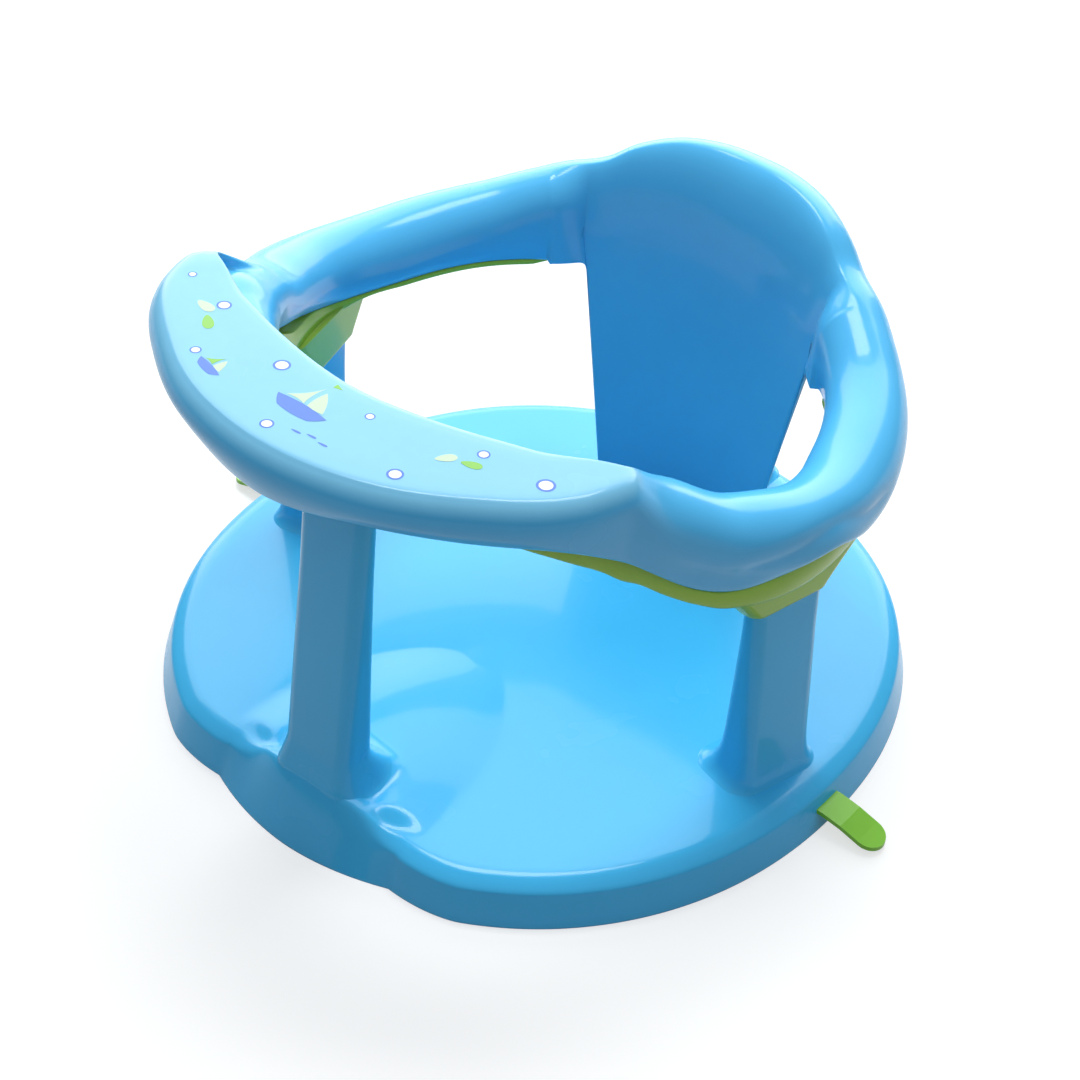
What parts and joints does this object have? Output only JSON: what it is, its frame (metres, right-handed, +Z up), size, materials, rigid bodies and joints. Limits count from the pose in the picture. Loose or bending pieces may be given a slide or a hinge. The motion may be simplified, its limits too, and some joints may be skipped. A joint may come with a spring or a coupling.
{
  "type": "baby bath seat",
  "caption": "Plastic baby bath ring seat: low base with four posts, play tray, arm rests, bucket back rest, and suction cups with pull tabs under the base.",
  "frame": {"origin": "on the tub floor, below the middle of the seat's outer box", "axes": "+Z up, the play tray and front post towards -Y, +X to the right seen from behind the tray looking at the back rest; the seat mirrors about X = 0"},
  "size_m": [0.3678, 0.344, 0.2051],
  "materials": {
    "base_blue": "gloss",
    "ring_blue": "gloss",
    "liner_green": "gloss",
    "cup_green": "satin",
    "screw_steel": "satin"
  },
  "bodies": {
    "root": {"base": "base_blue", "upper_ring": "ring_blue", "lower_ring": "liner_green", "suction_cup_left": "cup_green", "suction_cup_right": "cup_green", "suction_cup_front": "cup_green", "suction_cup_back": "cup_green", "ring_screws": "screw_steel"}
  },
  "joints": []
}
